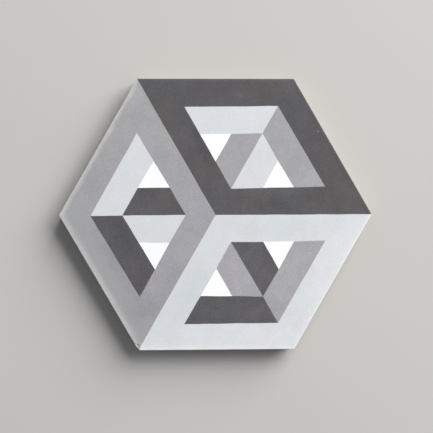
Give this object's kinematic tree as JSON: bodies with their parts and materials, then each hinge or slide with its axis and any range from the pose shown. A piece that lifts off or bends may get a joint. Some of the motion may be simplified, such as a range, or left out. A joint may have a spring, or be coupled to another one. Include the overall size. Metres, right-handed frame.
{
  "type": "encaustic cement tile",
  "caption": "Hexagonal floor tile of pressed pigmented cement, with an inlaid pattern of an open-frame cube in three greys and white, flush with its flat face, and a keyed back.",
  "frame": {"origin": "middle of the tile, in the plane of the back's rim that the tile rests on", "axes": "+Z out of the wear face; +X through a corner of the hexagon, the tip between the dark and the light cube faces; +Y through the middle of the side that the dark cube face's long edge follows"},
  "size_m": [0.2306, 0.2, 0.016],
  "materials": {
    "cement": "matte"
  },
  "bodies": {
    "root": {"cement_tile": "cement"}
  },
  "joints": []
}
